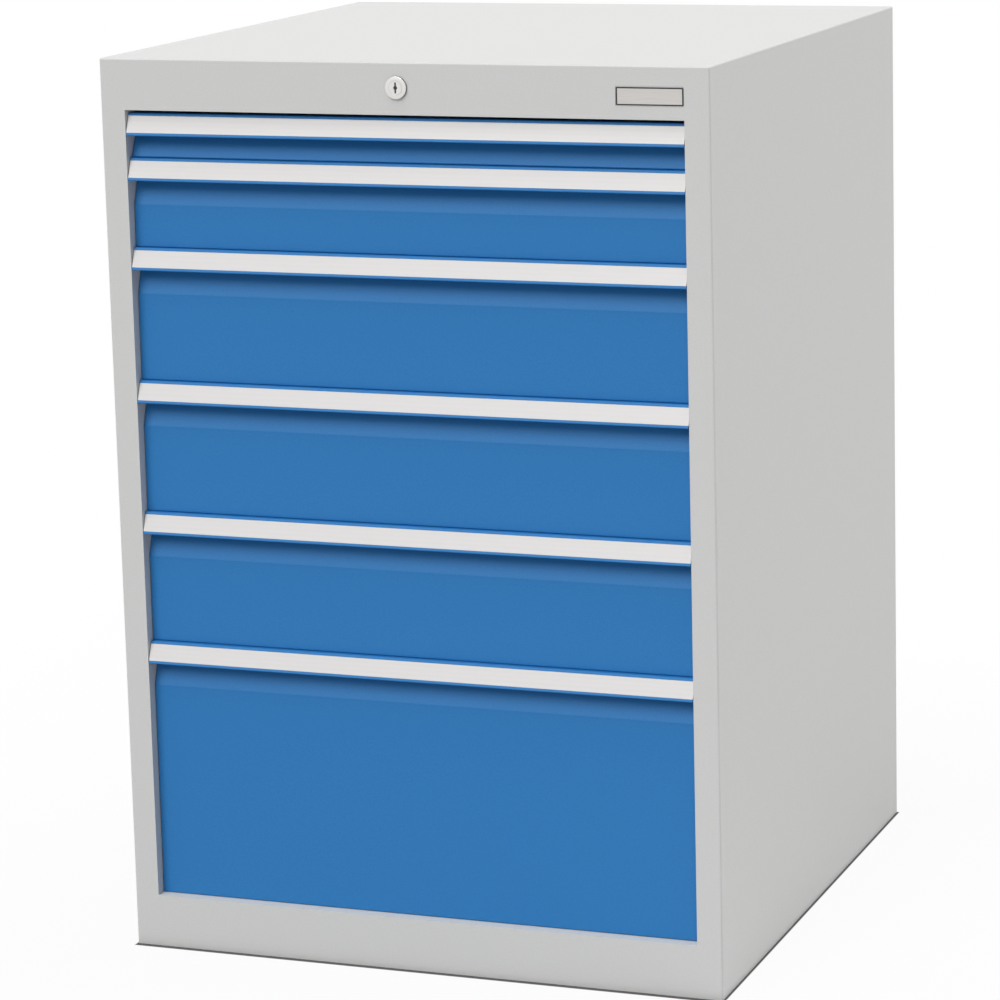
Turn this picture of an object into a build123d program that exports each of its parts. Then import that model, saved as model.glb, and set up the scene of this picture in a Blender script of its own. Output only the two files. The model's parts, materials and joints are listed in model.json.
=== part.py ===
"""A free-standing drawer cabinet of folded sheet steel.

Six drawers run out fully on three-member roller runners: a channel on the cabinet, a middle
rail and a channel on the drawer. A key in the header turns a long rod, and its crank lifts a
toothed bar behind the drawers that holds all of them shut.
"""

import os
from itertools import pairwise
from math import atan2, degrees, pi, sin

from build123d import *

os.makedirs("parts", exist_ok=True)

# Overall size, in millimetres
width = 705.0
depth = 736.0
plinth_height = 60.0
header_height = 57.0
drawer_pitches = [50.0, 100.0, 150.0, 150.0, 150.0, 300.0]
top_gap = 1.0
bottom_gap = 1.0
height = plinth_height + bottom_gap + sum(drawer_pitches) + top_gap + header_height

# Folded sheet of the cabinet
cabinet_sheet = 1.5
edge_radius = 2.0
stile_width = 28.5
return_depth = 22.0
header_return_depth = 16.0
rear_flange = 22.0
pan_flange = 40.0

# Reference planes of the cabinet
front = -depth / 2
back = depth / 2
side = width / 2
side_inner = side - cabinet_sheet
opening_half = side - stile_width
header_bottom = height - header_height
bay_tops = [header_bottom - top_gap - sum(drawer_pitches[:count]) for count in range(len(drawer_pitches))]
bay_bottoms = [top - pitch for top, pitch in zip(bay_tops, drawer_pitches)]

# Drawer trays
tray_sheet = 1.0
rear_room = 110.0
tray_floor_lift = 4.0
tray_top_drop = 12.0
divider_slot_pitch = 100.0
divider_slot_width = 2.0
divider_slot_margin = 9.0

# Drawer fronts: depths behind the front plane, drops below the top of the drawer's bay
front_sheet = 1.0
front_side_gap = 0.8
front_half = opening_half - front_side_gap
front_depth = 13.2
recess_depth = 23.0
recess_drop = 27.0
recess_end_drop = 55.0
grip_top_depth = 7.6
grip_top_drop = 2.9
grip_lip_depth = -0.8
grip_lip_drop = 26.9
front_overlap = 2.6
lowest_front_gap = 0.4
front_fold_radius = 1.2
grip_edge_radius = 0.9

# Light strip let into the slanted face of the grip
strip_width = 19.4
strip_thickness = 1.2
strip_band = 2.9
strip_play = 0.1

# Tray between the folded front and the room kept free for the lock
tray_front = front + recess_depth + front_sheet
tray_rear_depth = depth - rear_room
tray_length = tray_rear_depth - recess_depth - front_sheet
tray_back = tray_front + tray_length

# Roller runners: depths behind the front plane, and distances inwards from the upright
rail_front_gap = 3.5
rail_front = recess_depth + front_sheet + rail_front_gap
rail_length = tray_length - 2 * tray_sheet
rail_rear = rail_front + rail_length
rail_sheet = 1.5
rail_flange = 11.0
rail_gap = 1.0
runner_space = 2 * rail_flange + rail_gap
tray_half = opening_half - runner_space
rail_height = 38.0
rail_centre_lift = 25.0
roller_inset = 20.0
roller_play = 0.25
roller_width = 6.0
roller_web_gap = 0.5
roller_hub_radius = 6.5
roller_sides = 18
middle_height = 30.0
middle_flange = 7.0
middle_end_gap = 3.0
middle_web = (runner_space - rail_sheet) / 2
small_roller_radius = middle_height / 2 - rail_sheet - roller_play
large_roller_radius = rail_height / 2 - rail_sheet - roller_play
flange_gap = 2.5

# Slotted uprights that carry the runners
upright_width = 40.0
upright_slot_pitch = 100.0
upright_slot_width = 4.0
upright_slot_height = 14.0

# Central lock
lock_drop = 27.3
lock_height = height - lock_drop
lock_flange_radius = 12.25
lock_flange_thickness = 3.0
lock_flange_chamfer = 0.8
lock_body_radius = 9.5
lock_body_length = 24.0
lock_nut_radius = 14.0
lock_nut_thickness = 4.0
plug_radius = 7.5
plug_length = 29.0
keyhole_height = 12.0
keyhole_width = 2.0
keyhole_centre_radius = 2.2
keyhole_depth = 9.0
running_clearance = 0.05
rod_radius = 5.0
crank_thickness = 5.0
crank_radius = 20.0
crank_throw = 8.5
crank_pin_radius = 2.0
lock_lift = crank_throw * 2 * sin(pi / 4)
catch_lift = 24.0
catch_width = 24.0
catch_reach = 21.5
catch_drop = 10.0
catch_foot = 10.0
bar_width = 12.0
bar_sheet = 2.0
bar_side_gap = 2.0
bar_near = catch_width / 2 + bar_side_gap
bar_slide_gap = 0.3
tooth_play = 1.5
tooth_gap = 3.0
tooth_height = 10.0
tooth_reach = 10.0
bar_depth = tray_rear_depth + catch_reach - tray_sheet - tooth_play - bar_sheet
bar_head_reach = 14.0
bar_head_height = 24.0
bar_head_rise = 6.0
pin_play = 0.5
pin_end_play = 0.7
crank_gap = 6.0
crank_depth = bar_depth - crank_gap - crank_thickness
bracket_gap = 12.0
bracket_width = 40.0
bracket_foot = 25.0
bracket_drop = 16.0
guide_lift = 60.0
guide_width = 40.0
guide_lead = 8.0

# Bare plate set into the header
badge_width = 76.0
badge_height = 21.3
badge_lift = 24.7
badge_centre = (opening_half - badge_width / 2, header_bottom + badge_lift)
badge_recess = 0.8
badge_thickness = 0.5
badge_gap = 0.4


def save(part, name):
    """Label one sub-part and write it to its own file."""
    part.label = name
    export_step(part, f"parts/{name}.step")


def moved_right(points, distance):
    """The same line of bends moved to its right, with mitred corners."""
    corners = [Vector(*point) for point in points]
    runs = [(end - start).normalized() for start, end in pairwise(corners)]
    sides = [Vector(run.Y, -run.X) for run in runs]
    moved = [corners[0] + sides[0] * distance]
    for corner, before, after in zip(corners[1:-1], sides, sides[1:]):
        moved.append(corner + (before + after) * (distance / (1 + before.dot(after))))
    moved.append(corners[-1] + sides[-1] * distance)
    return moved


def sheet_outline(points, thickness, rounded=(), radius=0.0):
    """Section of a folded sheet: the outer line of its bends, thickened to the line's right."""
    with BuildSketch() as outline:
        with BuildLine():
            Polyline(*points, *reversed(moved_right(points, thickness)), close=True)
        make_face()
        if rounded:
            corners = [outline.vertices().sort_by_distance(point)[0] for point in rounded]
            fillet(corners, radius=radius)
    return outline.sketch


def sheet_runs(points, thickness, cuts):
    """Sections of a folded sheet that is parted along the mitres of some of its bends."""
    moved = moved_right(points, thickness)
    runs = []
    for start, end in pairwise([0, *cuts, len(points) - 1]):
        with BuildSketch() as run:
            with BuildLine():
                Polyline(*points[start : end + 1], *reversed(moved[start : end + 1]), close=True)
            make_face()
        runs.append(run.sketch)
    return runs


def channel_section(outer_height, flange, thickness):
    """Section of a channel whose web stands on the vertical axis and which opens towards +X."""
    return sheet_outline(
        [
            (flange, -outer_height / 2),
            (0, -outer_height / 2),
            (0, outer_height / 2),
            (flange, outer_height / 2),
        ],
        thickness,
    )


# Cabinet
def make_side_panels():
    """Side wall, front stile, its return into the opening and the rear flange, folded in one."""
    with BuildPart() as right_side_panel:
        with BuildSketch():
            add(
                sheet_outline(
                    [
                        (side - rear_flange, back),
                        (side, back),
                        (side, front),
                        (opening_half, front),
                        (opening_half, front + return_depth),
                    ],
                    cabinet_sheet,
                    [(side, back), (side, front)],
                    edge_radius,
                )
            )
        extrude(amount=header_bottom)
    with BuildPart() as left_side_panel:
        mirror(right_side_panel.part, about=Plane.YZ)
    save(right_side_panel.part, "right_side_panel")
    save(left_side_panel.part, "left_side_panel")


def make_top_cover():
    """Top with the header and skirts folded down from it, the lock hole and the badge recess."""
    with BuildPart() as top_cover:
        with BuildSketch(Plane.XY.offset(header_bottom)):
            Rectangle(width, depth)
        extrude(amount=header_height)
        fillet(top_cover.edges().filter_by(Axis.Z), radius=edge_radius)
        fillet(top_cover.faces().sort_by(Axis.Z)[-1].edges(), radius=edge_radius)
        with BuildSketch(Plane.XY.offset(header_bottom)):
            Rectangle(2 * side_inner, depth - 2 * cabinet_sheet)
        extrude(amount=header_height - cabinet_sheet, mode=Mode.SUBTRACT)
        with BuildSketch(Plane.XY.offset(header_bottom)):
            with Locations((0, front + header_return_depth / 2)):
                Rectangle(2 * opening_half, header_return_depth)
        extrude(amount=cabinet_sheet)
        with BuildSketch(Plane.XZ.offset(-front)):
            with Locations((0, lock_height)):
                Circle(lock_body_radius + running_clearance)
        extrude(amount=-cabinet_sheet, mode=Mode.SUBTRACT)
        with BuildSketch(Plane.XZ.offset(-front)):
            with Locations(badge_centre):
                Rectangle(badge_width, badge_height)
        extrude(amount=-badge_recess, mode=Mode.SUBTRACT)
    save(top_cover.part, "top_cover")


def make_badge_plate():
    """Thin bare plate that lies in the header's recess."""
    with BuildPart() as badge_plate:
        with BuildSketch(Plane.XZ.offset(-front - badge_recess)):
            with Locations(badge_centre):
                Rectangle(badge_width - 2 * badge_gap, badge_height - 2 * badge_gap)
        extrude(amount=badge_thickness)
    save(badge_plate.part, "badge_plate")


def make_bottom_rail():
    """Front rail under the drawers, with its return into the opening."""
    with BuildPart() as bottom_rail:
        with BuildSketch(Plane.YZ.offset(-opening_half)):
            add(
                sheet_outline(
                    [
                        (front, 0),
                        (front, plinth_height),
                        (front + return_depth, plinth_height),
                    ],
                    cabinet_sheet,
                )
            )
        extrude(amount=2 * opening_half)
    save(bottom_rail.part, "bottom_rail")


def make_base_pan():
    """Bottom of the cabinet, notched around the stiles, with flanges turned up on all sides."""
    rail_back = front + cabinet_sheet
    wall = back - 2 * cabinet_sheet
    stile_back = front + return_depth
    pan_length = wall - rail_back
    flange_start = stile_back + upright_width
    flange_end = front + rail_rear - upright_width
    with BuildPart() as base_pan:
        with BuildSketch():
            with Locations((0, (rail_back + wall) / 2)):
                Rectangle(2 * side_inner, pan_length)
            for direction in (-1, 1):
                with Locations((direction * (opening_half + stile_width / 2), (rail_back + stile_back) / 2)):
                    Rectangle(stile_width, stile_back - rail_back, mode=Mode.SUBTRACT)
        extrude(amount=cabinet_sheet)
        with BuildSketch():
            with Locations((0, rail_back + cabinet_sheet / 2)):
                Rectangle(2 * opening_half, cabinet_sheet)
            with Locations((0, wall - cabinet_sheet / 2)):
                Rectangle(2 * side_inner, cabinet_sheet)
            for direction in (-1, 1):
                with Locations((direction * (side_inner - cabinet_sheet / 2), (flange_start + flange_end) / 2)):
                    Rectangle(cabinet_sheet, flange_end - flange_start)
        extrude(amount=pan_flange)
    save(base_pan.part, "base_pan")


def make_back_panel():
    """Plain back sheet held inside the rear flanges of the side panels."""
    with BuildPart() as back_panel:
        with BuildSketch(Plane.XZ.offset(-back + cabinet_sheet)):
            with Locations((0, header_bottom / 2)):
                Rectangle(2 * side_inner, header_bottom)
        extrude(amount=cabinet_sheet)
    save(back_panel.part, "back_panel")


def upright(near_depth):
    """One right-hand upright: a channel open to the side wall, slotted in its web."""
    upright_height = height - 2 * cabinet_sheet
    slot_count = int(sum(drawer_pitches) // upright_slot_pitch)
    with BuildPart() as post:
        with BuildSketch(Plane.XY.offset(cabinet_sheet)):
            add(
                sheet_outline(
                    [
                        (side_inner, front + near_depth),
                        (opening_half, front + near_depth),
                        (opening_half, front + near_depth + upright_width),
                        (side_inner, front + near_depth + upright_width),
                    ],
                    cabinet_sheet,
                )
            )
        extrude(amount=upright_height)
        with BuildSketch(Plane.YZ.offset(opening_half)):
            with Locations((front + near_depth + upright_width / 2, (header_bottom + plinth_height) / 2)):
                with GridLocations(0, upright_slot_pitch, 1, slot_count):
                    Rectangle(upright_slot_width, upright_slot_height)
        extrude(amount=cabinet_sheet, mode=Mode.SUBTRACT)
    return post.part


def make_uprights():
    """Front and rear uprights, one of each on either side."""
    for name, near_depth in (("front_uprights", return_depth), ("rear_uprights", rail_rear - upright_width)):
        right = upright(near_depth)
        with BuildPart() as pair:
            add(right)
            mirror(right, about=Plane.YZ)
        save(pair.part, name)


# Runners
def both_sides(part):
    """A right-hand piece together with its mirror image on the left."""
    with BuildPart() as pair:
        add(part)
        mirror(part, about=Plane.YZ)
    return pair.part


def cabinet_rail(centre_height):
    """Channel on the uprights, open towards the drawer."""
    with BuildPart() as rail:
        with BuildSketch(Plane.XZ.offset(-front - rail_front)):
            with Locations(Location((opening_half, centre_height), 180)):
                add(channel_section(rail_height, rail_flange, rail_sheet))
        extrude(amount=-rail_length)
    return rail.part


def drawer_rail(centre_height):
    """Channel on the tray's wall, open towards the cabinet."""
    with BuildPart() as rail:
        with BuildSketch(Plane.XZ.offset(-front - rail_front)):
            with Locations((tray_half, centre_height)):
                add(channel_section(rail_height, rail_flange, rail_sheet))
        extrude(amount=-rail_length)
    return rail.part


def middle_rail(centre_height):
    """Web with a channel on each face; each channel stops short where the other face has a roller."""
    web_outer = opening_half - middle_web
    roller_room = roller_inset + large_roller_radius + flange_gap
    channel_length = rail_length - middle_end_gap - roller_room
    flange_height = middle_height - rail_sheet
    with BuildPart() as rail:
        with BuildSketch(Plane.XZ.offset(-front - rail_front - middle_end_gap)):
            with Locations((web_outer - rail_sheet / 2, centre_height)):
                Rectangle(rail_sheet, middle_height)
        extrude(amount=-(rail_length - 2 * middle_end_gap))
        with BuildSketch(Plane.XZ.offset(-front - rail_front - middle_end_gap)):
            with Locations((web_outer + middle_flange / 2, centre_height)):
                with GridLocations(0, flange_height, 1, 2):
                    Rectangle(middle_flange, rail_sheet)
        extrude(amount=-channel_length)
        with BuildSketch(Plane.XZ.offset(-front - rail_front - roller_room)):
            with Locations((web_outer - rail_sheet - middle_flange / 2, centre_height)):
                with GridLocations(0, flange_height, 1, 2):
                    Rectangle(middle_flange, rail_sheet)
        extrude(amount=-channel_length)
    return rail.part


def channel_roller(face, inwards, along, centre_height):
    """Small roller on a hexagonal spacer on a channel's web; it runs inside the middle rail."""
    hub_length = middle_web - roller_web_gap - roller_width - rail_sheet
    with BuildPart() as roller:
        with BuildSketch(Plane.YZ.offset(face + inwards * rail_sheet)):
            with Locations((front + along, centre_height)):
                RegularPolygon(roller_hub_radius, 6)
        extrude(amount=inwards * hub_length)
        with BuildSketch(Plane.YZ.offset(face + inwards * (rail_sheet + hub_length))):
            with Locations((front + along, centre_height)):
                RegularPolygon(small_roller_radius, roller_sides)
        extrude(amount=inwards * roller_width)
    return roller.part


def middle_roller(face, outwards, along, centre_height):
    """Large roller against the middle rail's web; it runs inside a channel."""
    with BuildPart() as roller:
        with BuildSketch(Plane.YZ.offset(face)):
            with Locations((front + along, centre_height)):
                RegularPolygon(large_roller_radius, roller_sides)
        extrude(amount=outwards * roller_width)
    return roller.part


def make_cabinet_runners():
    """Channels of all the bays, and the roller at the front of each."""
    with BuildPart() as cabinet_rails:
        for bay_bottom in bay_bottoms:
            add(both_sides(cabinet_rail(bay_bottom + rail_centre_lift)))
    save(cabinet_rails.part, "cabinet_rails")
    with BuildPart() as cabinet_rollers:
        for bay_bottom in bay_bottoms:
            along = rail_front + roller_inset
            add(both_sides(channel_roller(opening_half, -1, along, bay_bottom + rail_centre_lift)))
    save(cabinet_rollers.part, "cabinet_rollers")


def make_drawer_runners(number, bay_bottom):
    """The drawer's own channels and rollers, and the middle rails and rollers between."""
    centre_height = bay_bottom + rail_centre_lift
    front_axle = rail_front + roller_inset
    rear_axle = rail_rear - roller_inset
    web_outer = opening_half - middle_web
    save(both_sides(drawer_rail(centre_height)), f"drawer_{number}_rails")
    save(both_sides(channel_roller(tray_half, 1, rear_axle, centre_height)), f"drawer_{number}_rollers")
    save(both_sides(middle_rail(centre_height)), f"middle_{number}_rails")
    with BuildPart() as middle_rollers:
        add(both_sides(middle_roller(web_outer, 1, rear_axle, centre_height)))
        add(both_sides(middle_roller(web_outer - rail_sheet, -1, front_axle, centre_height)))
    save(middle_rollers.part, f"middle_{number}_rollers")


# Drawers
slant_run = grip_lip_depth - grip_top_depth
slant_fall = grip_top_drop - grip_lip_drop
slant_length = (slant_run**2 + slant_fall**2) ** 0.5
slant_along = (slant_run / slant_length, slant_fall / slant_length)
slant_inwards = (-slant_along[1], slant_along[0])
slant_tilt = degrees(atan2(slant_along[0], -slant_along[1]))


def on_slant(bay_top, along, inwards):
    """Point on the grip's slanted face, measured from its upper edge."""
    return (
        front + grip_top_depth + slant_along[0] * along + slant_inwards[0] * inwards,
        bay_top - grip_top_drop + slant_along[1] * along + slant_inwards[1] * inwards,
    )


def front_run(section, trim=None):
    """One run of a drawer front, from side to side, with an outline taken out of its section."""
    with BuildPart() as run:
        with BuildSketch(Plane.YZ.offset(-front_half)):
            add(section)
            if trim:
                with BuildLine():
                    Polyline(*trim, close=True)
                make_face(mode=Mode.SUBTRACT)
        extrude(amount=2 * front_half)
    return run.part


def front_grip(bay_top, corners):
    """Hemmed bar of the grip, with the bed for the light strip in its slanted face."""
    with BuildPart() as grip:
        with BuildSketch(Plane.YZ.offset(-front_half)):
            with BuildLine():
                Polyline(*corners, close=True)
            make_face()
            with Locations(Location(on_slant(bay_top, strip_band + strip_width / 2, 0), slant_tilt)):
                Rectangle(2 * strip_thickness, strip_width + 2 * strip_play, mode=Mode.SUBTRACT)
        extrude(amount=2 * front_half)
        for corner in corners[:3]:
            fold = Vector(0, *corner)
            fillet(grip.edges().filter_by(Axis.X).sort_by_distance(fold)[0], grip_edge_radius)
    return grip.part


def make_front(number, bay_top, lower_edge):
    """Folded front in four runs that meet edge to edge: face with its foot, recess, top and grip."""
    grip_thickness = front_sheet + strip_thickness
    inner_start = -grip_thickness * slant_along[0] / slant_along[1]
    grip_corners = [
        on_slant(bay_top, 0, 0),
        on_slant(bay_top, slant_length, 0),
        on_slant(bay_top, slant_length, grip_thickness),
        on_slant(bay_top, inner_start, grip_thickness),
    ]
    foot = (front + front_depth, lower_edge)
    face_top = (front + front_depth, bay_top - recess_end_drop)
    recess_foot = (front + recess_depth, bay_top - recess_drop)
    recess_top = (front + recess_depth, bay_top - grip_top_drop - front_sheet)
    top_end = (grip_corners[0][0] + grip_thickness / 2, recess_top[1])
    has_face = face_top[1] > lower_edge + front_sheet
    folds = [(tray_front, lower_edge), foot, recess_foot, recess_top, top_end]
    if has_face:
        folds.insert(2, face_top)
    recess_bend = folds.index(recess_foot)
    face_run, recess_run, top_run = sheet_runs(folds, front_sheet, [recess_bend, recess_bend + 1])
    with BuildPart() as face:
        add(front_run(face_run))
        fold = Vector(0, *foot)
        fillet(face.edges().filter_by(Axis.X).sort_by_distance(fold)[0], front_fold_radius)
    pieces = [face.part, front_run(recess_run), front_run(top_run, grip_corners), front_grip(bay_top, grip_corners)]
    save(Compound([solid for piece in pieces for solid in piece.solids()]), f"drawer_{number}_front")


def make_grip_strip(number, bay_top):
    """Light strip that lies in the bed of the grip, flush with its edges."""
    middle = on_slant(bay_top, strip_band + strip_width / 2, strip_thickness / 2)
    with BuildPart() as grip_strip:
        with BuildSketch(Plane.YZ.offset(-front_half)):
            with Locations(Location(middle, slant_tilt)):
                Rectangle(strip_thickness, strip_width)
        extrude(amount=2 * front_half)
    save(grip_strip.part, f"drawer_{number}_grip_strip")


def tray_shell(floor_height, rim_height):
    """Bottom, front and rear of a tray, folded from one sheet."""
    with BuildPart() as shell:
        with BuildSketch(Plane.YZ.offset(-tray_half + tray_sheet)):
            add(
                sheet_outline(
                    [
                        (tray_back, rim_height),
                        (tray_back, floor_height),
                        (tray_front, floor_height),
                        (tray_front, rim_height),
                    ],
                    tray_sheet,
                )
            )
        extrude(amount=2 * (tray_half - tray_sheet))
    return shell.part


def tray_wall(floor_height, rim_height):
    """Right-hand side wall of a tray, slotted for dividers."""
    wall_height = rim_height - floor_height
    slot_count = int(tray_length // divider_slot_pitch)
    with BuildPart() as wall:
        with BuildSketch(Plane.YZ.offset(tray_half - tray_sheet)):
            with Locations(((tray_front + tray_back) / 2, (floor_height + rim_height) / 2)):
                Rectangle(tray_length, wall_height)
                with GridLocations(divider_slot_pitch, 0, slot_count, 1):
                    Rectangle(
                        divider_slot_width,
                        wall_height - 2 * divider_slot_margin,
                        mode=Mode.SUBTRACT,
                    )
        extrude(amount=tray_sheet)
    return wall.part


def tray_catch(catch_height):
    """Bent bracket on the rear of a tray, whose lip the lock bar's tooth holds."""
    with BuildPart() as catch:
        with BuildSketch(Plane.YZ.offset(-catch_width / 2)):
            add(
                sheet_outline(
                    [
                        (tray_back + tray_sheet, catch_height + catch_foot),
                        (tray_back + tray_sheet, catch_height),
                        (tray_back + catch_reach, catch_height),
                        (tray_back + catch_reach, catch_height - tray_sheet - catch_drop),
                    ],
                    tray_sheet,
                )
            )
        extrude(amount=catch_width)
    return catch.part


def make_tray(number, bay_top, bay_bottom):
    """Open tray: a folded sheet between two slotted walls, with the catch for the lock behind."""
    floor_height = bay_bottom + tray_floor_lift
    rim_height = bay_top - tray_top_drop
    walls = both_sides(tray_wall(floor_height, rim_height))
    shell = tray_shell(floor_height, rim_height)
    catch = tray_catch(bay_bottom + catch_lift + tray_sheet)
    save(Compound([*shell.solids(), *walls.solids(), *catch.solids()]), f"drawer_{number}_tray")


# Central lock
def make_lock_housing():
    """Round housing through the header and the nut that holds it from behind."""
    lock_plane = Plane.XZ.offset(-front)
    with BuildPart() as lock_housing:
        with BuildSketch(lock_plane):
            with Locations((0, lock_height)):
                Circle(lock_flange_radius)
        extrude(amount=lock_flange_thickness)
        chamfer(lock_housing.faces().sort_by(Axis.Y)[0].edges(), length=lock_flange_chamfer)
        with BuildSketch(lock_plane):
            with Locations((0, lock_height)):
                Circle(lock_body_radius)
        extrude(amount=-lock_body_length)
        with BuildSketch(lock_plane.offset(lock_flange_thickness)):
            with Locations((0, lock_height)):
                Circle(plug_radius + running_clearance)
        extrude(amount=-lock_flange_thickness - lock_body_length, mode=Mode.SUBTRACT)
    save(lock_housing.part, "lock_housing")
    with BuildPart() as lock_nut:
        with BuildSketch(Plane.XZ.offset(-front - cabinet_sheet)):
            with Locations((0, lock_height)):
                RegularPolygon(lock_nut_radius, 6)
                Circle(lock_body_radius + running_clearance, mode=Mode.SUBTRACT)
        extrude(amount=-lock_nut_thickness)
    save(lock_nut.part, "lock_nut")


def make_lock_plug():
    """Plug that the key turns, with its keyhole upright while the drawers are free."""
    face_plane = Plane.XZ.offset(-front + lock_flange_thickness)
    with BuildPart() as lock_plug:
        with BuildSketch(face_plane):
            with Locations((0, lock_height)):
                Circle(plug_radius)
        extrude(amount=-plug_length)
        with BuildSketch(face_plane):
            with Locations((0, lock_height)):
                SlotOverall(keyhole_height, keyhole_width, rotation=90)
                Circle(keyhole_centre_radius)
        extrude(amount=-keyhole_depth, mode=Mode.SUBTRACT)
    save(lock_plug.part, "lock_plug")


def make_lock_rod():
    """Rod from the plug to the rear, ending in a crank disc whose pin lifts the bar."""
    rod_start = plug_length - lock_flange_thickness
    pin_length = bar_depth + bar_sheet - crank_depth
    with BuildPart() as lock_rod:
        with BuildSketch(Plane.XZ.offset(-front - rod_start)):
            with Locations((0, lock_height)):
                Circle(rod_radius)
        extrude(amount=-(crank_depth - rod_start))
        with BuildSketch(Plane.XZ.offset(-front - crank_depth)):
            with Locations((0, lock_height)):
                Circle(crank_radius)
        extrude(amount=-crank_thickness)
        with BuildSketch(Plane.XZ.offset(-front - crank_depth)):
            with Locations((-lock_lift / 2, lock_height - lock_lift / 2)):
                Circle(crank_pin_radius)
        extrude(amount=-pin_length)
    save(lock_rod.part, "lock_rod")


def make_rod_bracket():
    """Bearing for the rear end of the rod, hung from the top."""
    bracket_face = front + crank_depth - bracket_gap
    under_top = height - cabinet_sheet
    with BuildPart() as rod_bracket:
        with BuildSketch(Plane.YZ.offset(-bracket_width / 2)):
            add(
                sheet_outline(
                    [
                        (bracket_face, lock_height - bracket_drop),
                        (bracket_face, under_top),
                        (bracket_face - bracket_foot, under_top),
                    ],
                    -bar_sheet,
                )
            )
        extrude(amount=bracket_width)
        with BuildSketch(Plane.XZ.offset(-bracket_face)):
            with Locations((0, lock_height)):
                Circle(rod_radius + running_clearance)
        extrude(amount=bar_sheet, mode=Mode.SUBTRACT)
    save(rod_bracket.part, "lock_rod_bracket")


def make_lock_bar():
    """Flat bar with a tooth welded on for each drawer, and the slotted head that the crank lifts."""
    bar_plane = Plane.XZ.offset(-front - bar_depth)
    tooth_top = catch_lift - catch_drop - tooth_gap
    bar_bottom = bay_bottoms[-1] + tooth_top - tooth_height
    head_top = lock_height + bar_head_rise
    slot_centre = (-(lock_lift / 2 + crank_throw) / 2, lock_height - lock_lift / 2)
    slot_width = crank_throw - lock_lift / 2 + 2 * (crank_pin_radius + pin_end_play)
    with BuildPart() as bar:
        with BuildSketch(bar_plane):
            with Locations((bar_near, bar_bottom)):
                Rectangle(bar_width, head_top - bar_bottom, align=Align.MIN)
        extrude(amount=-bar_sheet)
    with BuildPart() as teeth:
        with BuildSketch(bar_plane):
            for bay_bottom in bay_bottoms:
                with Locations((bar_near, bay_bottom + tooth_top)):
                    Rectangle(bar_near + tooth_reach, tooth_height, align=Align.MAX)
        extrude(amount=-bar_sheet)
    with BuildPart() as head:
        with BuildSketch(bar_plane):
            with Locations((bar_near, head_top)):
                Rectangle(bar_near + bar_head_reach, bar_head_height, align=Align.MAX)
            with Locations(slot_centre):
                Rectangle(slot_width, 2 * (crank_pin_radius + pin_play), mode=Mode.SUBTRACT)
        extrude(amount=-bar_sheet)
    save(Compound([*bar.part.solids(), *teeth.part.solids(), *head.part.solids()]), "lock_bar")


def make_lock_bar_guides():
    """Brackets on the back panel, each slotted for the bar."""
    back_face = back - 2 * cabinet_sheet
    bar_middle = bar_near + bar_width / 2
    with BuildPart() as lock_bar_guides:
        for bay_bottom in bay_bottoms[1::2]:
            guide_height = bay_bottom + guide_lift
            with BuildSketch(Plane.YZ.offset(bar_middle - guide_width / 2)):
                add(
                    sheet_outline(
                        [
                            (back_face, guide_height + guide_width),
                            (back_face, guide_height),
                            (front + bar_depth - guide_lead, guide_height),
                        ],
                        cabinet_sheet,
                    )
                )
            extrude(amount=guide_width)
            with BuildSketch(Plane.XY.offset(guide_height)):
                with Locations((bar_middle, front + bar_depth + bar_sheet / 2)):
                    Rectangle(bar_width + 2 * bar_slide_gap, bar_sheet + 2 * bar_slide_gap)
            extrude(amount=cabinet_sheet, mode=Mode.SUBTRACT)
    save(lock_bar_guides.part, "lock_bar_guides")


make_side_panels()
make_top_cover()
make_badge_plate()
make_bottom_rail()
make_base_pan()
make_back_panel()
make_uprights()
make_cabinet_runners()

for index, (bay_top, bay_bottom) in enumerate(zip(bay_tops, bay_bottoms)):
    lowest = index == len(bay_tops) - 1
    lower_edge = plinth_height + lowest_front_gap if lowest else bay_bottom - front_overlap
    make_front(index + 1, bay_top, lower_edge)
    make_grip_strip(index + 1, bay_top)
    make_tray(index + 1, bay_top, bay_bottom)
    make_drawer_runners(index + 1, bay_bottom)

make_lock_housing()
make_lock_plug()
make_lock_rod()
make_rod_bracket()
make_lock_bar()
make_lock_bar_guides()
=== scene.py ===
# %% [markdown]
# # A steel drawer cabinet
#
# The cabinet stands in front of us as CAD solids: folded sheets, trays, runners and a lock. They
# already have the right shape, so this lesson gives them their finishes, puts finer round
# pieces where the eye would find facets, and sets up the light and the camera.
#
# All lengths are metres. +X is right seen from the front, +Y is back and +Z is up. The origin is
# the centre of the footprint, on the floor.

import json
from math import radians

import bmesh
import bpy
from mathutils import Matrix, Vector


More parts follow.
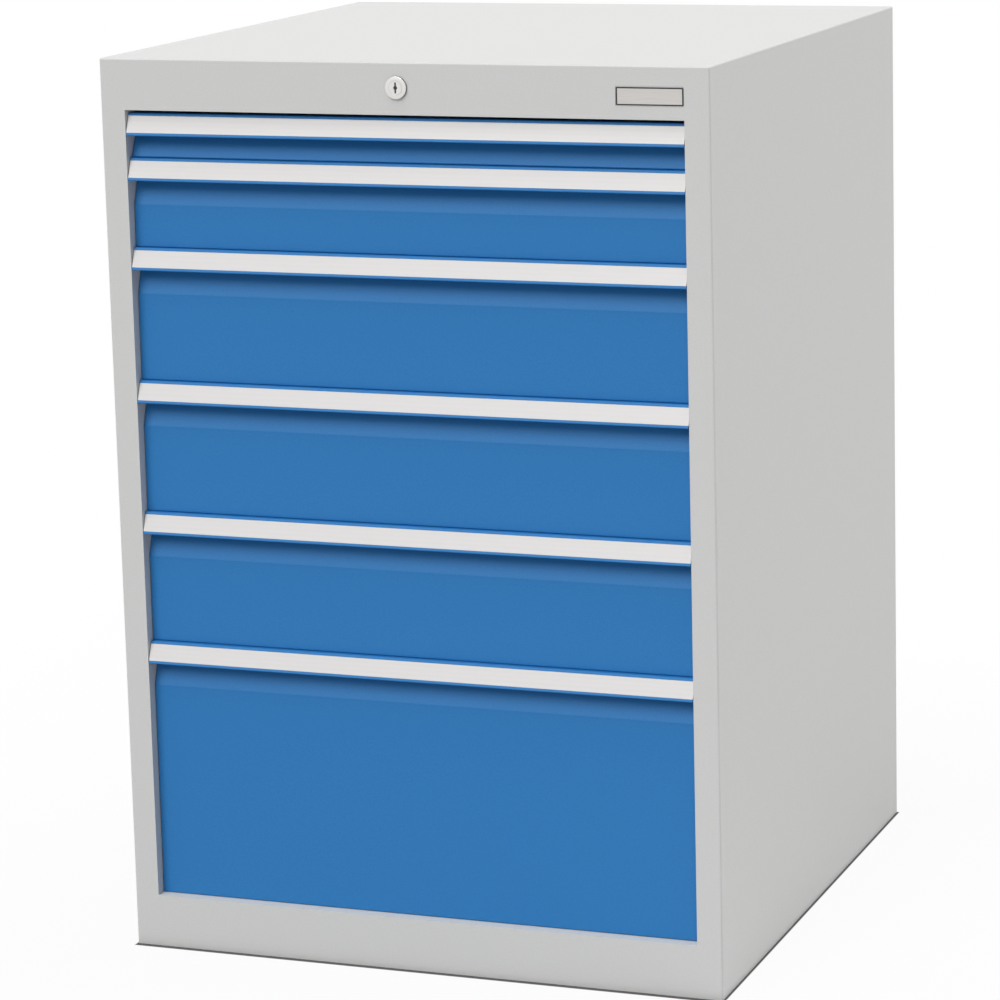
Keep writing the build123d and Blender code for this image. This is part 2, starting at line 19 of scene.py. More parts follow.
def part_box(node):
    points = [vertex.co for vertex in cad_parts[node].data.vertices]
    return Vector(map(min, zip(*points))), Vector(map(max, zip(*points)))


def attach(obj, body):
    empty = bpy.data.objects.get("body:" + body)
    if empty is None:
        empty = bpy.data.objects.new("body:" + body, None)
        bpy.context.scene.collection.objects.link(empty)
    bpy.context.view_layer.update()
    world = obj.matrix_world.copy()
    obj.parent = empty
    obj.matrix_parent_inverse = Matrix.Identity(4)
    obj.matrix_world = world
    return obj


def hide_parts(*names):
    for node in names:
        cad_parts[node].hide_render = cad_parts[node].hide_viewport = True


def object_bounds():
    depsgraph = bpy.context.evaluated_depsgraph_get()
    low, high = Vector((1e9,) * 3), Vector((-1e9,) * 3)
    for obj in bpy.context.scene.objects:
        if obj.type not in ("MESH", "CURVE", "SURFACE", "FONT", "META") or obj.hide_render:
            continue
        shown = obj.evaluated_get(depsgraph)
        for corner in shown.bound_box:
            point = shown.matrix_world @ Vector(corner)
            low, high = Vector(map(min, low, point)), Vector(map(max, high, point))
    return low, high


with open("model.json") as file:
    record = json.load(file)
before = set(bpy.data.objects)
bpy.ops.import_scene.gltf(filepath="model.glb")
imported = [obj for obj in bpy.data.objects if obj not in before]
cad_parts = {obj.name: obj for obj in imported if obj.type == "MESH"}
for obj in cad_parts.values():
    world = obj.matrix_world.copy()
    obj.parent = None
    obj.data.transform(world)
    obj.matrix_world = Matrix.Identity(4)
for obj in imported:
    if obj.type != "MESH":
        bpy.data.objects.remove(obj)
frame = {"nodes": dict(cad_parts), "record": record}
cabinet_low, cabinet_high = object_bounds()
print("nodes:", len(frame["nodes"]), "box:", cabinet_low[:], cabinet_high[:])

# %% [markdown]
# ## Helpers for finishes
#
# A finish is a tree of shader nodes. Building one by hand repeats the same three things: make a
# node, set its options, fill its inputs. One small function does all three. Where an input is given
# a socket of another node, it is linked, and otherwise it is set.
#
# Colours are written as on a paint chart, in sRGB, but the renderer adds up light, so each colour is
# turned into its linear value once, here.

# %% Colour and node helpers
millimetre = 0.001


def linear_colour(code):
    """Linear red, green, blue and alpha of an sRGB hex colour."""
    shares = [int(code[place : place + 2], 16) / 255 for place in (1, 3, 5)]
    linear = [share / 12.92 if share <= 0.04045 else ((share + 0.055) / 1.055) ** 2.4 for share in shares]
    return (*linear, 1.0)


def add_node(tree, kind, inputs, **settings):
    """Add one node, set its options, and set or link its inputs."""
    made = tree.nodes.new(kind)
    for setting, value in settings.items():
        setattr(made, setting, value)
    for socket, value in inputs.items():
        if isinstance(value, bpy.types.NodeSocket):
            tree.links.new(value, made.inputs[socket])
        else:
            made.inputs[socket].default_value = value
    return made


def new_material(name):
    """An empty material with its output node, and the object coordinates that its patterns follow."""
    material = bpy.data.materials.new(name)
    material.use_nodes = True
    tree = material.node_tree
    tree.nodes.clear()
    output = tree.nodes.new("ShaderNodeOutputMaterial")
    place = tree.nodes.new("ShaderNodeTexCoord").outputs["Object"]
    return material, tree, output, place


print("white is", linear_colour("#FFFFFF"), "mid grey is", linear_colour("#808080"))

# %% [markdown]
# ## Powder coat
#
# The body, the fronts and the trays are steel sheet with a powder coat: a dry powder is sprayed on,
# melts in an oven and flows out. It never flows quite flat. What stays is "orange peel", soft waves
# about 2 mm across and a few hundredths of a millimetre high, with a satin gloss that breaks up
# reflections. Grains of pigment give it a fine speckle.
#
# Both could be images, but noise textures in object coordinates have the same grain size on every
# piece and need no unwrapping. The speckle is really finer than 0.3 mm; it is drawn at 1.6 mm so
# that it shows at all from four metres away.

# %% Powder coat material


def powder_coat(name, dark, light, roughness, specular=0.5):
    """Satin powder coat: speckled colour, soft waves in the surface, dielectric gloss."""
    material, tree, output, place = new_material(name)
    speckle = add_node(
        tree,
        "ShaderNodeTexNoise",
        {"Vector": place, "Scale": 1 / (1.6 * millimetre), "Detail": 2.0, "Roughness": 0.6},
    )
    colour = add_node(tree, "ShaderNodeValToRGB", {"Fac": speckle.outputs["Fac"]})
    colour.color_ramp.elements[0].position = 0.3
    colour.color_ramp.elements[0].color = linear_colour(dark)
    colour.color_ramp.elements[1].position = 0.7
    colour.color_ramp.elements[1].color = linear_colour(light)
    waves = add_node(
        tree,
        "ShaderNodeTexNoise",
        {"Vector": place, "Scale": 1 / (2.2 * millimetre), "Detail": 1.0, "Roughness": 0.4},
    )
    peel = add_node(
        tree,
        "ShaderNodeBump",
        {"Height": waves.outputs["Fac"], "Strength": 0.25, "Distance": 0.05 * millimetre},
    )
    gloss = add_node(
        tree,
        "ShaderNodeMapRange",
        {"Value": waves.outputs["Fac"], "To Min": roughness - 0.05, "To Max": roughness + 0.05},
    )
    surface = add_node(
        tree,
        "ShaderNodeBsdfPrincipled",
        {
            "Base Color": colour.outputs["Color"],
            "Roughness": gloss.outputs["Result"],
            "IOR": 1.5,
            "Specular IOR Level": specular,
            "Normal": peel.outputs["Normal"],
        },
    )
    tree.links.new(surface.outputs["BSDF"], output.inputs["Surface"])
    return material


finishes = {
    "grey_paint": powder_coat("powder_coat_light_grey", "#C6C6C5", "#CDCDCC", 0.5),
    "blue_paint": powder_coat("powder_coat_blue", "#2071B1", "#2877B7", 0.55, 0.35),
    "tray_paint": powder_coat("powder_coat_tray_grey", "#C2C3C2", "#CBCBCA", 0.55),
}
print("powder coats:", sorted(finishes))

# %% [markdown]
# ## Strip plastic
#
# The light strip in each grip is extruded plastic, coloured through. The die that it is pressed
# through leaves very fine lines along its whole length, so the highlight on it is drawn out along the
# strip. A wave texture across the strip makes these lines: they lie 0.8 mm apart here, where the real
# ones are finer than can be seen.

# %% Strip plastic material
line_spacing = 0.8 * millimetre
waves_per_scale = 20  # the wave texture draws about this many bands per unit of its scale


def extruded_plastic(name, dark, light):
    """Light extruded plastic with faint die lines along X."""
    material, tree, output, place = new_material(name)
    lines = add_node(
        tree,
        "ShaderNodeTexWave",
        {
            "Vector": place,
            "Scale": 1 / (waves_per_scale * line_spacing),
            "Distortion": 0.4,
            "Detail": 1.0,
            "Detail Scale": 2.0,
        },
        wave_type="BANDS",
        bands_direction="Z",
    )
    colour = add_node(tree, "ShaderNodeValToRGB", {"Fac": lines.outputs["Fac"]})
    colour.color_ramp.elements[0].color = linear_colour(dark)
    colour.color_ramp.elements[1].color = linear_colour(light)
    relief = add_node(
        tree,
        "ShaderNodeBump",
        {"Height": lines.outputs["Fac"], "Strength": 0.1, "Distance": 0.01 * millimetre},
    )
    surface = add_node(
        tree,
        "ShaderNodeBsdfPrincipled",
        {
            "Base Color": colour.outputs["Color"],
            "Roughness": 0.38,
            "IOR": 1.53,
            "Normal": relief.outputs["Normal"],
        },
    )
    tree.links.new(surface.outputs["BSDF"], output.inputs["Surface"])
    return material


finishes["strip_plastic"] = extruded_plastic("extruded_strip_plastic", "#CDCBCA", "#CFCDCC")
print("strip plastic:", finishes["strip_plastic"].name)

# %% [markdown]
# ## Galvanised steel
#
# Runners, uprights' fittings and the lock's linkage are bare zinc-coated steel. Zinc freezes on the
# sheet in crystals a few millimetres wide, the spangle, each with its own slightly different
# gloss. A Voronoi texture gives such cells: each cell's random colour moves the roughness and the
# tone a little. As a metal it keeps the shader's default index of refraction.

# %% Galvanised steel material


def galvanised(name, dark, light):
    """Zinc-coated sheet with a spangle of crystals about 5 mm wide."""
    material, tree, output, place = new_material(name)
    crystals = add_node(
        tree,
        "ShaderNodeTexVoronoi",
        {"Vector": place, "Scale": 1 / (5 * millimetre), "Randomness": 1.0},
    )
    tone = add_node(tree, "ShaderNodeSeparateColor", {"Color": crystals.outputs["Color"]})
    colour = add_node(tree, "ShaderNodeValToRGB", {"Fac": tone.outputs["Red"]})
    colour.color_ramp.elements[0].color = linear_colour(dark)
    colour.color_ramp.elements[1].color = linear_colour(light)
    gloss = add_node(
        tree,
        "ShaderNodeMapRange",
        {"Value": tone.outputs["Green"], "To Min": 0.34, "To Max": 0.5},
    )
    surface = add_node(
        tree,
        "ShaderNodeBsdfPrincipled",
        {"Base Color": colour.outputs["Color"], "Metallic": 1.0, "Roughness": gloss.outputs["Result"]},
    )
    tree.links.new(surface.outputs["BSDF"], output.inputs["Surface"])
    return material


finishes["galvanised_steel"] = galvanised("galvanised_steel_sheet", "#A3A7AA", "#B9BCBE")
print("galvanised steel:", finishes["galvanised_steel"].name)

# %% [markdown]
# ## Acetal, nickel and aluminium
#
# Three small finishes are left. The rollers are moulded acetal, a dense dark plastic with a soft
# waxy gloss and a faint grain from its mould. The lock is a zinc die casting with satin nickel
# plating: a pale, warm metal whose fine tumbling marks blur reflections. The bare plate in the header is
# brushed aluminium, whose grain runs along the plate: noise that is stretched a hundredfold
# along X looks like the marks of a brush.

# %% Small finishes


def moulded_acetal(name, dark, light):
    """Dark moulded plastic with the fine grain of its mould."""
    material, tree, output, place = new_material(name)
    grain = add_node(
        tree,
        "ShaderNodeTexNoise",
        {"Vector": place, "Scale": 1 / (0.8 * millimetre), "Detail": 2.0},
    )
    colour = add_node(tree, "ShaderNodeValToRGB", {"Fac": grain.outputs["Fac"]})
    colour.color_ramp.elements[0].color = linear_colour(dark)
    colour.color_ramp.elements[1].color = linear_colour(light)
    relief = add_node(
        tree,
        "ShaderNodeBump",
        {"Height": grain.outputs["Fac"], "Strength": 0.2, "Distance": 0.03 * millimetre},
    )
    surface = add_node(
        tree,
        "ShaderNodeBsdfPrincipled",
        {
            "Base Color": colour.outputs["Color"],
            "Roughness": 0.42,
            "IOR": 1.48,
            "Normal": relief.outputs["Normal"],
        },
    )
    tree.links.new(surface.outputs["BSDF"], output.inputs["Surface"])
    return material


def worked_metal(name, dark, light, marks_per_metre, smooth, rough):
    """Bare metal with fine marks; marks_per_metre says how many marks lie along X, Y and Z."""
    material, tree, output, place = new_material(name)
    along = add_node(tree, "ShaderNodeMapping", {"Vector": place, "Scale": marks_per_metre})
    marks = add_node(
        tree,
        "ShaderNodeTexNoise",
        {"Vector": along.outputs["Vector"], "Scale": 1.0, "Detail": 3.0, "Roughness": 0.6},
    )
    colour = add_node(tree, "ShaderNodeValToRGB", {"Fac": marks.outputs["Fac"]})
    colour.color_ramp.elements[0].position = 0.3
    colour.color_ramp.elements[0].color = linear_colour(dark)
    colour.color_ramp.elements[1].position = 0.7
    colour.color_ramp.elements[1].color = linear_colour(light)
    gloss = add_node(
        tree,
        "ShaderNodeMapRange",
        {"Value": marks.outputs["Fac"], "To Min": smooth, "To Max": rough},
    )
    surface = add_node(
        tree,
        "ShaderNodeBsdfPrincipled",
        {"Base Color": colour.outputs["Color"], "Metallic": 1.0, "Roughness": gloss.outputs["Result"]},
    )
    tree.links.new(surface.outputs["BSDF"], output.inputs["Surface"])
    return material


finishes["roller_plastic"] = moulded_acetal("moulded_acetal_dark", "#242528", "#2F3033")
finishes["lock_nickel"] = worked_metal(
    "satin_nickel_plating", "#D6D5D2", "#E2E0DD", (900.0, 900.0, 900.0), 0.3, 0.45
)
finishes["badge_aluminium"] = worked_metal(
    "brushed_aluminium_plate", "#BDBAB7", "#CFCCC9", (30.0, 3000.0, 3000.0), 0.3, 0.5
)
print("finishes:", sorted(finishes))

# %% [markdown]
# ## Dress the solids
#
# The record says which finish each solid takes. A solid's mesh and place stay as they are: only the
# material in its slot changes.

# %% Finish each solid
slot_of = {row["node"]: row["material_slot"] for row in frame["record"]["subparts"]}
for node_name, solid in frame["nodes"].items():
    if not solid.material_slots:
        solid.data.materials.append(None)
    for held in solid.material_slots:
        held.material = finishes[slot_of[node_name]]
print("dressed:", len(slot_of), "solids")

# %% [markdown]
# ## Pieces from mesh code
#
# Round pieces are made as a turner makes them: draw half of the section, then spin it about its
# axis. `bmesh.ops.spin` does that, and merging the seam closes the ring. A finished piece keeps its
# object at the origin and its place in its mesh, as the solids do.

# %% Helpers for turned pieces


def turned(piece, section, axis_start, turn, segments):
    """Spin a section of (radius, height) points about its axis and set the result in its place."""
    ring = [piece.verts.new((radius, 0.0, height)) for radius, height in section]
    edges = [piece.edges.new(pair) for pair in zip(ring, ring[1:])]
    made = bmesh.ops.spin(
        piece,
        geom=ring + edges,
        cent=(0.0, 0.0, 0.0),
        axis=(0.0, 0.0, 1.0),
        angle=radians(360),
        steps=segments,
        use_merge=True,
    )
    island = set(ring)
    for found in made["geom_last"]:
        if isinstance(found, bmesh.types.BMVert):
            island.add(found)
    grown = list(island)
    while grown:
        for edge in grown.pop().link_edges:
            for vert in edge.verts:
                if vert not in island:
                    island.add(vert)
                    grown.append(vert)
    bmesh.ops.transform(piece, matrix=Matrix.Translation(axis_start) @ turn, verts=list(island))


def finish_piece(piece, name, finish, body, smooth=True):
    """Close, weld and turn a mesh the right way out, then make it a piece that rides on a body."""
    bmesh.ops.remove_doubles(piece, verts=piece.verts, dist=0.01 * millimetre)
    bmesh.ops.recalc_face_normals(piece, faces=piece.faces)
    for face in piece.faces:
        face.smooth = smooth
    sharp = radians(35)
    for edge in piece.edges:
        edge.smooth = len(edge.link_faces) == 2 and edge.calc_face_angle() < sharp
    mesh = bpy.data.meshes.new(name)
    piece.to_mesh(mesh)
    piece.free()
    mesh.materials.append(finishes[finish])
    made = bpy.data.objects.new(name, mesh)
    bpy.context.scene.collection.objects.link(made)
    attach(made, body)
    return made


def solid_boxes(node_name):
    """Lowest and highest corner of each separate solid in one node."""
    copy = bmesh.new()
    copy.from_mesh(frame["nodes"][node_name].data)
    bmesh.ops.remove_doubles(copy, verts=copy.verts, dist=0.001 * millimetre)
    waiting = set(copy.verts)
    boxes = []
    while waiting:
        grown = [waiting.pop()]
        island = []
        while grown:
            vert = grown.pop()
            island.append(vert.co.copy())
            for edge in vert.link_edges:
                other = edge.other_vert(vert)
                if other in waiting:
                    waiting.remove(other)
                    grown.append(other)
        low = Vector([min(point[axis] for point in island) for axis in range(3)])
        high = Vector([max(point[axis] for point in island) for axis in range(3)])
        boxes.append((low, high))
    copy.free()
    return boxes


print("solids in cabinet_rollers:", len(solid_boxes("cabinet_rollers")))

# %% [markdown]
# ## Rollers
#
# The drawers run on acetal rollers. Each solid is a plain many-sided wheel; the real one has a
# rounded tread, a shallow dish in its face and a riveted steel axle. A wheel takes its place and
# its radius from the box of the solid that it replaces, so both stay in step. Wheels that stand
# away from their rail have a steel spacer behind them.

# %% Turn the rollers
roller_width = 6 * millimetre
tread_round = 0.7 * millimetre
dish_depth = 0.8 * millimetre
rivet_radius = 3.2 * millimetre
rivet_rise = 0.5 * millimetre
spacer_radius = 5.0 * millimetre
wheel_segments = 40


def add_wheel(wheels, steel, low, high, outwards):
    """One wheel whose inner face is nearer the rail; outwards is +1 or -1 along X."""
    radius = (high.z - low.z) / 2
    length = high.x - low.x
    spacer = length - roller_width
    root = Vector((low.x if outwards > 0 else high.x, (low.y + high.y) / 2, (low.z + high.z) / 2))
    turn = Matrix.Rotation(radians(90 * outwards), 4, "Y")
    rim = radius - 2.4 * millimetre
    wheel_section = [
        (0.0, spacer),
        (radius - tread_round, spacer),
        (radius - 0.3 * tread_round, spacer + 0.3 * tread_round),
        (radius, spacer + tread_round),
        (radius, length - tread_round),
        (radius - 0.3 * tread_round, length - 0.3 * tread_round),
        (radius - tread_round, length),
        (rim, length),
        (rim - dish_depth, length - dish_depth),
        (0.0, length - dish_depth),
    ]
    turned(wheels, wheel_section, root, turn, wheel_segments)
    rivet_section = [
        (0.0, length - dish_depth),
        (rivet_radius, length - dish_depth),
        (0.9 * rivet_radius, length - dish_depth + 0.6 * rivet_rise),
        (0.5 * rivet_radius, length - dish_depth + 0.95 * rivet_rise),
        (0.0, length - dish_depth + rivet_rise),
    ]
    turned(steel, rivet_section, root, turn, wheel_segments)
    if spacer > 0.5 * millimetre:
        spacer_section = [(0.0, 0.0), (spacer_radius, 0.0), (spacer_radius, spacer), (0.0, spacer)]
        turned(steel, spacer_section, root, turn, wheel_segments)


roller_nodes = [name for name in frame["nodes"] if name.endswith("_rollers")]
for node_name in sorted(roller_nodes):
    body = node_name.replace("_rollers", "")
    wheels, steel = bmesh.new(), bmesh.new()
    for low, high in solid_boxes(node_name):
        side = 1 if low.x > 0 else -1
        if body == "cabinet":
            outwards = -side
        elif body.startswith("drawer"):
            outwards = side
        else:
            front_axle = (low.y + high.y) / 2 < 0
            outwards = -side if front_axle else side
        add_wheel(wheels, steel, low, high, outwards)
    made = finish_piece(wheels, f"{body}_wheels", "roller_plastic", body)
    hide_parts(node_name)
    finish_piece(steel, f"{body}_axles", "galvanised_steel", body)
print("rollers turned for", len(roller_nodes), "nodes")

# %% [markdown]
# ## Lock
#
# The lock's collar is a die casting: its front edge is rounded, and its bore is chamfered, which
# draws a fine dark ring around the plug. Behind the nickel flange, a dark ring takes the back part of
# the flange's thickness. It is painted shade: it stands for the shade on the flange's side and the
# shadow that the flange casts on the header, and shows as a thin dark crescent beside the flange.
# Both are turned about the lock's axis, and together they replace the plainer solid. The plug keeps
# its solid, because its keyhole is cut there.

# %% Turn the lock's collar and its ring of painted shade
collar_low, collar_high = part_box("lock_housing")
plug_low, plug_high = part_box("lock_plug")
collar_radius = (collar_high.x - collar_low.x) / 2
bore_radius = (plug_high.x - plug_low.x) / 2 + 0.05 * millimetre
body_radius = 9.5 * millimetre
flange_thickness = 3 * millimetre
shade_ring_thickness = 1.8 * millimetre
collar_length = collar_high.y - collar_low.y
edge_round = 0.5 * millimetre
bore_chamfer = 0.25 * millimetre
lock_axis = Vector(((collar_low.x + collar_high.x) / 2, collar_low.y, (collar_low.z + collar_high.z) / 2))
facing_front = Matrix.Rotation(radians(-90), 4, "X")
flange_back = flange_thickness - shade_ring_thickness
collar_section = [
    (bore_radius, bore_chamfer),
    (bore_radius + bore_chamfer, 0.0),
    (collar_radius - edge_round, 0.0),
    (collar_radius - 0.62 * edge_round, 0.08 * edge_round),
    (collar_radius - 0.29 * edge_round, 0.29 * edge_round),
    (collar_radius - 0.08 * edge_round, 0.62 * edge_round),
    (collar_radius, edge_round),
    (collar_radius, flange_back),
    (body_radius, flange_back),
    (body_radius, collar_length),
    (bore_radius, collar_length),
    (bore_radius, bore_chamfer),
]
# The dark ring is painted shade: the flange's shaded side and its shadow on the header.
shade_ring_section = [
    (body_radius, flange_back),
    (collar_radius, flange_back),
    (collar_radius, flange_thickness),
    (body_radius, flange_thickness),
    (body_radius, flange_back),
]
collar, shade_ring = bmesh.new(), bmesh.new()
turned(collar, collar_section, lock_axis, facing_front, 96)
turned(shade_ring, shade_ring_section, lock_axis, facing_front, 96)
lock_collar = finish_piece(collar, "lock_collar", "lock_nickel", "cabinet")
# The ring of painted shade takes the dark acetal finish.
finish_piece(shade_ring, "lock_washer", "roller_plastic", "cabinet")
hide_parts("lock_housing")
print("collar radius in mm:", round(collar_radius / millimetre, 2))

# %% [markdown]
# ## Painted shade in the keyhole
#
# The keyhole is made to look black by a dark piece a little way in: painted shade, which stands for
# the shade deep in the keyway. It is drawn as a slot with a round middle: one circle whose halves are
# pushed apart, and a second circle over it, both given their thickness by an extrusion. It turns with
# the plug, so it rides on the same body.

# %% Painted shade in the keyhole
keyhole_shade_depth = 0.5 * millimetre
keyhole_shade_thickness = 1 * millimetre
slot_radius = 1.0 * millimetre
slot_half_length = 6.0 * millimetre
middle_radius = 2.2 * millimetre
# A dark slot of painted shade sits half a millimetre inside the keyhole.
keyhole_shade = bmesh.new()
slot = bmesh.ops.create_circle(keyhole_shade, cap_ends=True, radius=slot_radius, segments=24)
for vert in slot["verts"]:
    push = slot_half_length - slot_radius
    vert.co.y += push if vert.co.y > 0 else -push
middle_lift = Matrix.Translation((0.0, 0.0, 0.02 * millimetre))
bmesh.ops.create_circle(keyhole_shade, cap_ends=True, radius=middle_radius, segments=32, matrix=middle_lift)
backs = bmesh.ops.extrude_face_region(keyhole_shade, geom=list(keyhole_shade.faces))["geom"]
bmesh.ops.translate(
    keyhole_shade,
    vec=(0.0, 0.0, -keyhole_shade_thickness),
    verts=[part for part in backs if isinstance(part, bmesh.types.BMVert)],
)
keyhole_shade_place = Matrix.Translation((lock_axis.x, plug_low.y + keyhole_shade_depth, lock_axis.z))
bmesh.ops.transform(
    keyhole_shade, matrix=keyhole_shade_place @ Matrix.Rotation(radians(90), 4, "X"), verts=keyhole_shade.verts
)
keyhole_shutter = finish_piece(keyhole_shade, "keyhole_shutter", "roller_plastic", "lock_key_shaft", smooth=False)
print("shutter faces:", len(keyhole_shutter.data.polygons))

# %% [markdown]
# ## Border of the bare plate
#
# A small plate lies in a recess of the header, and a thin dark border frames it. The border starts as
# one face, facing the front. Its corners are rounded by bevelling its four points, an inset draws the
# inner edge, the middle is deleted, and the ring gets its thickness by an extrusion.

# %% Frame the plate
border_width = 1.5 * millimetre
border_rise = 0.25 * millimetre
border_length = 74.8 * millimetre
border_height = 19.4 * millimetre
plate_low, plate_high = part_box("badge_plate")
plate_middle = (plate_low + plate_high) / 2
border = bmesh.new()
bmesh.ops.create_grid(border, x_segments=1, y_segments=1, size=0.5)
border_place = Matrix.Translation((plate_middle.x, plate_low.y - border_rise, plate_middle.z))
border_turn = Matrix.Rotation(radians(90), 4, "X")
border_size = Matrix.Diagonal((border_length, border_height, 1.0, 1.0))
bmesh.ops.transform(border, matrix=border_place @ border_turn @ border_size, verts=border.verts)
bmesh.ops.bevel(
    border,
    geom=list(border.verts),
    offset=1.2 * millimetre,
    affect="VERTICES",
    segments=4,
    profile=0.5,
    material=-1,
)
ring = bmesh.ops.inset_region(
    border, faces=list(border.faces), thickness=border_width, use_boundary=True, use_even_offset=True
)["faces"]
middle = [face for face in border.faces if face not in ring]
bmesh.ops.delete(border, geom=middle, context="FACES")
grown = bmesh.ops.extrude_face_region(border, geom=list(border.faces))["geom"]
bmesh.ops.translate(
    border,
    vec=(0.0, border_rise, 0.0),
    verts=[part for part in grown if isinstance(part, bmesh.types.BMVert)],
)
plate_border = finish_piece(border, "badge_border", "roller_plastic", "cabinet", smooth=False)
print("border faces:", len(plate_border.data.polygons))

# %% [markdown]
# ## Studio
#
# The floor is plain and pale. Where the cabinet stands on it, a contact shadow is painted into the
# floor's colour: a dark line a few millimetres wide, set a little to the front and the right. It
# follows the footprint: the distance of a point from that rectangle says where the painted shadow
# ends. Beyond it the floor takes only a faint soft shadow, and farther out it looks as white as the
# backdrop. A Light Path node lets only rays from the camera, or seen in gloss or glass, find that
# white, so it adds no light to the object.
#
# The world is dim for lighting and white for those same rays, but only near the horizon, so the
# cabinet's top mirrors no white sky.

# %% Floor and world
bpy.ops.mesh.primitive_plane_add(size=80.0)
floor = bpy.context.object
floor.name = "studio_floor"
floor_paint, tree, output, place = new_material("matt_white_floor")
seen = add_node(tree, "ShaderNodeLightPath", {})
direct = add_node(
    tree,
    "ShaderNodeMath",
    {0: seen.outputs["Is Camera Ray"], 1: seen.outputs["Is Glossy Ray"]},
    operation="MAXIMUM",
)
any_view = add_node(
    tree,
    "ShaderNodeMath",
    {0: direct.outputs["Value"], 1: seen.outputs["Is Transmission Ray"]},
    operation="MAXIMUM",
)
half_footprint = ((cabinet_high[0] - cabinet_low[0]) / 2, (cabinet_high[1] - cabinet_low[1]) / 2, 0.0)
# The dark line is a painted contact shadow, shifted a little to the front and the right of the footprint.
painted_shadow_to_right = 1 * millimetre
painted_shadow_to_front = 4 * millimetre
painted_shadow_starts_fading = 1 * millimetre
painted_shadow_ends = 3 * millimetre
shadow_reach = 0.9
painted_shadow_shift = (-painted_shadow_to_right, painted_shadow_to_front, 0.0)
shifted = add_node(tree, "ShaderNodeVectorMath", {0: place, 1: painted_shadow_shift}, operation="ADD")
spread = add_node(tree, "ShaderNodeVectorMath", {0: shifted.outputs["Vector"]}, operation="ABSOLUTE")
outside = add_node(
    tree, "ShaderNodeVectorMath", {0: spread.outputs["Vector"], 1: half_footprint}, operation="SUBTRACT"
)
outside_sides = add_node(tree, "ShaderNodeSeparateXYZ", {"Vector": outside.outputs["Vector"]})
distance = add_node(
    tree,
    "ShaderNodeMath",
    {0: outside_sides.outputs["X"], 1: outside_sides.outputs["Y"]},
    operation="MAXIMUM",
)
# Zero on the painted contact shadow, one beyond it.
clear = add_node(
    tree,
    "ShaderNodeMapRange",
    {"Value": distance.outputs["Value"], "From Min": painted_shadow_starts_fading, "From Max": painted_shadow_ends},
    interpolation_type="SMOOTHSTEP",
)
whiter = add_node(
    tree,
    "ShaderNodeMapRange",
    {
        "Value": distance.outputs["Value"],
        "From Min": 0.0,
        "From Max": shadow_reach,
        "To Min": 0.94,
        "To Max": 1.0,
    },
)
white_share = add_node(
    tree, "ShaderNodeMath", {0: clear.outputs["Result"], 1: whiter.outputs["Result"]}, operation="MULTIPLY"
)
fade = add_node(
    tree,
    "ShaderNodeMath",
    {0: any_view.outputs["Value"], 1: white_share.outputs["Value"]},
    operation="MULTIPLY",
)
# The ramp's dark end paints the contact shadow into the floor's colour.
tone = add_node(tree, "ShaderNodeValToRGB", {"Fac": clear.outputs["Result"]})
tone.color_ramp.elements[0].color = linear_colour("#5C5C5C")
tone.color_ramp.elements[1].color = linear_colour("#BDBDBD")
matt = add_node(tree, "ShaderNodeBsdfDiffuse", {"Color": tone.outputs["Color"]})
backdrop = add_node(tree, "ShaderNodeEmission", {"Color": linear_colour("#FFFFFF"), "Strength": 1.0})
blend = add_node(
    tree,
    "ShaderNodeMixShader",
    {"Fac": fade.outputs["Value"], 1: matt.outputs["BSDF"], 2: backdrop.outputs["Emission"]},
)
tree.links.new(blend.outputs["Shader"], output.inputs["Surface"])
floor.data.materials.append(floor_paint)

world = bpy.data.worlds.new("studio_world")
bpy.context.scene.world = world
world.use_nodes = True
sky = world.node_tree
sky.nodes.clear()
sky_output = sky.nodes.new("ShaderNodeOutputWorld")
sky_seen = add_node(sky, "ShaderNodeLightPath", {})
sky_direct = add_node(
    sky,
    "ShaderNodeMath",
    {0: sky_seen.outputs["Is Camera Ray"], 1: sky_seen.outputs["Is Glossy Ray"]},
    operation="MAXIMUM",
)
sky_view = add_node(
    sky,
    "ShaderNodeMath",
    {0: sky_direct.outputs["Value"], 1: sky_seen.outputs["Is Transmission Ray"]},
    operation="MAXIMUM",
)
sky_place = sky.nodes.new("ShaderNodeTexCoord").outputs["Generated"]
sky_height = add_node(sky, "ShaderNodeSeparateXYZ", {"Vector": sky_place})
sky_band = add_node(
    sky,
    "ShaderNodeMapRange",
    {"Value": sky_height.outputs["Z"], "From Min": 0.35, "From Max": 0.65, "To Min": 1.0, "To Max": 0.0},
    interpolation_type="SMOOTHSTEP",
)
sky_white = add_node(
    sky,
    "ShaderNodeMath",
    {0: sky_view.outputs["Value"], 1: sky_band.outputs["Result"]},
    operation="MULTIPLY",
)
ambient = add_node(sky, "ShaderNodeBackground", {"Color": linear_colour("#FFFFFF"), "Strength": 0.22})
white = add_node(sky, "ShaderNodeBackground", {"Color": linear_colour("#FFFFFF"), "Strength": 1.0})
sky_blend = add_node(
    sky,
    "ShaderNodeMixShader",
    {"Fac": sky_white.outputs["Value"], 1: ambient.outputs["Background"], 2: white.outputs["Background"]},
)
sky.links.new(sky_blend.outputs["Shader"], sky_output.inputs["Surface"])
print("floor and world ready")

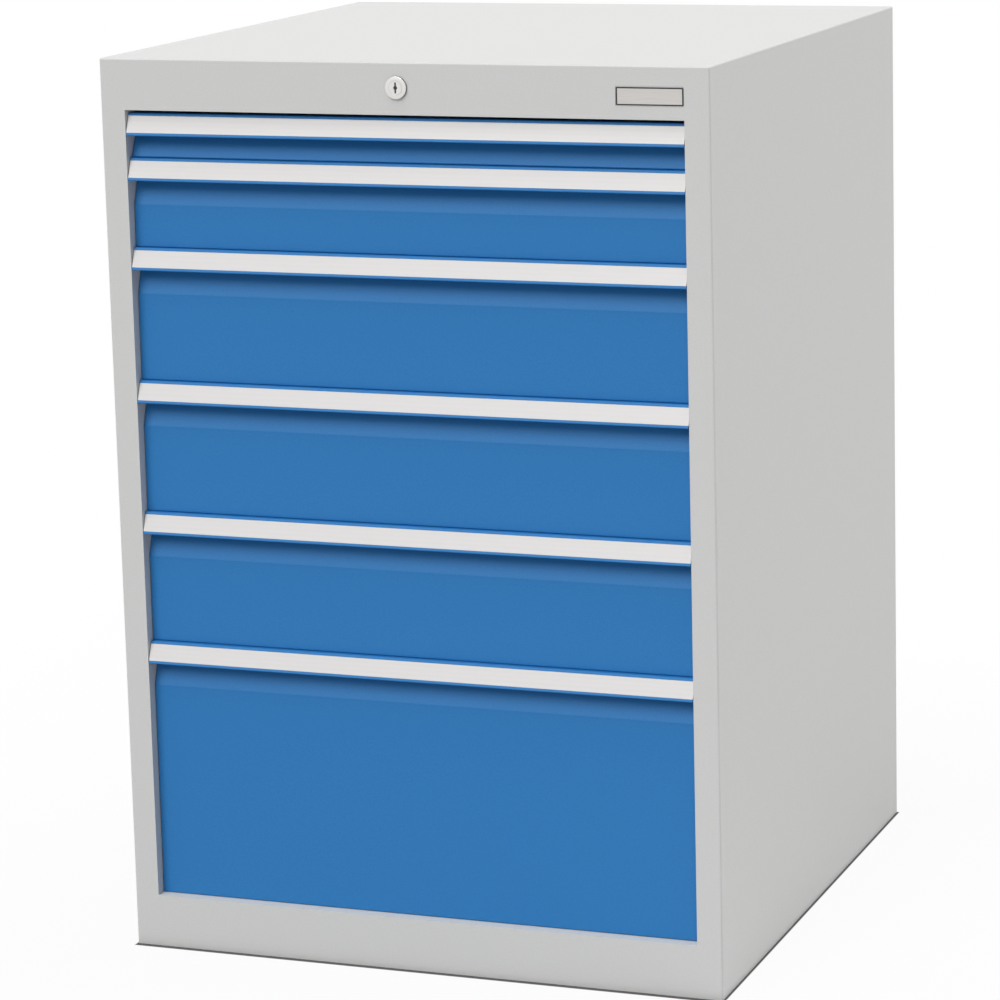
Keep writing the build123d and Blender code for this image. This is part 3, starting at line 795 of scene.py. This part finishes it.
# %% [markdown]
# ## Light
#
# A light tent surrounds the cabinet with large, far lamps, so nothing gets darker towards the floor.
# A sun lamp with a wide angle does the same: parallel light with soft shadow edges. The key light
# comes from the upper left and draws the shade under each grip. One from the right and the rear
# lights the right wall and the back. The one overhead makes the top the brightest face.

# %% Soft lamps
# name: (direction towards the lamp, apparent width in degrees, strength)
soft_lamps = {
    "overhead_light": ((0.0, -0.1, 1.0), 40.0, 1.65),
    "key_light": ((-0.3, -1.0, 0.9), 36.0, 1.9),
    "right_rear_light": ((1.0, 0.8, 0.6), 36.0, 1.54),
}
for lamp_name, (towards_lamp, width_degrees, strength) in soft_lamps.items():
    light = bpy.data.lights.new(lamp_name, "SUN")
    light.angle = radians(width_degrees)
    light.energy = strength
    lamp = bpy.data.objects.new(lamp_name, light)
    bpy.context.scene.collection.objects.link(lamp)
    lamp.rotation_euler = Vector(towards_lamp).to_track_quat("Z", "Y").to_euler()
print("lamps:", sorted(soft_lamps))

# %% [markdown]
# ## Camera
#
# The picture is taken from the front right with a long lens, a little above the cabinet and four
# metres away. Its place and turn were fitted to the corners of the body. The camera first looks
# along +Y, is tipped down, turned to the left and rolled a little about its own axis. The fit gives
# the focal length in pixels, and the width of the sensor turns it into millimetres. A small shift
# moves the frame, as the cropping of the picture does.

# %% Camera
camera_place = (1.5618, -4.1502, 1.4131)
turned_left = 19.786
tipped_down = 10.914
rolled = 1.212
focal_pixels = 3820.8
picture_pixels = 1000
lens_data = bpy.data.cameras.new("product_camera")
lens_data.sensor_width = 36.0
lens_data.lens = focal_pixels * lens_data.sensor_width / picture_pixels
lens_data.shift_x = -0.08
lens_data.shift_y = -0.08
lens_data.clip_start = 0.05
lens_data.clip_end = 200.0
camera = bpy.data.objects.new("product_camera", lens_data)
bpy.context.scene.collection.objects.link(camera)
camera.matrix_world = (
    Matrix.Translation(camera_place)
    @ Matrix.Rotation(radians(turned_left), 4, "Z")
    @ Matrix.Rotation(radians(90 - tipped_down), 4, "X")
    @ Matrix.Rotation(radians(-rolled), 4, "Z")
)
bpy.context.scene.camera = camera
bpy.context.scene.view_settings.view_transform = "Standard"
print("lens in mm:", round(lens_data.lens, 1))
